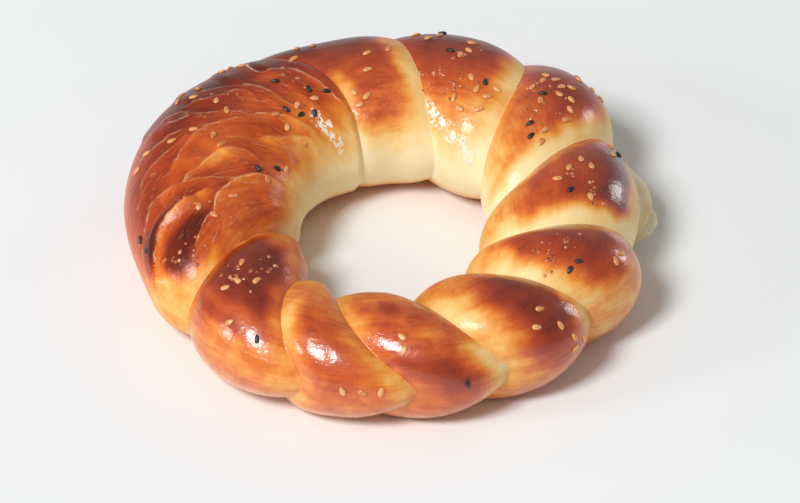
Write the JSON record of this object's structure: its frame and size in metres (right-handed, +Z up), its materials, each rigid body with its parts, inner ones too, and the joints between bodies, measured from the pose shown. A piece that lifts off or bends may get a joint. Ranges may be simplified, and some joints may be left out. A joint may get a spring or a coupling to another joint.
{
  "type": "acma ring bread",
  "caption": "Soft ring bread of twisted dough with a browned egg-washed crust, strewn with sesame and nigella seeds.",
  "frame": {"origin": "middle of the bread's bounding box, on the surface that it rests on", "axes": "+Z up, through the hole; +Y towards the back, where the twist is faintest; +X towards the side where the roll of dough ends"},
  "size_m": [0.161, 0.1578, 0.0411],
  "materials": {
    "crust": "browned crust with a glossy egg wash, pale cream in the valleys of the twist, with sesame and nigella seeds"
  },
  "bodies": {
    "root": {"acma": "crust"}
  },
  "joints": []
}
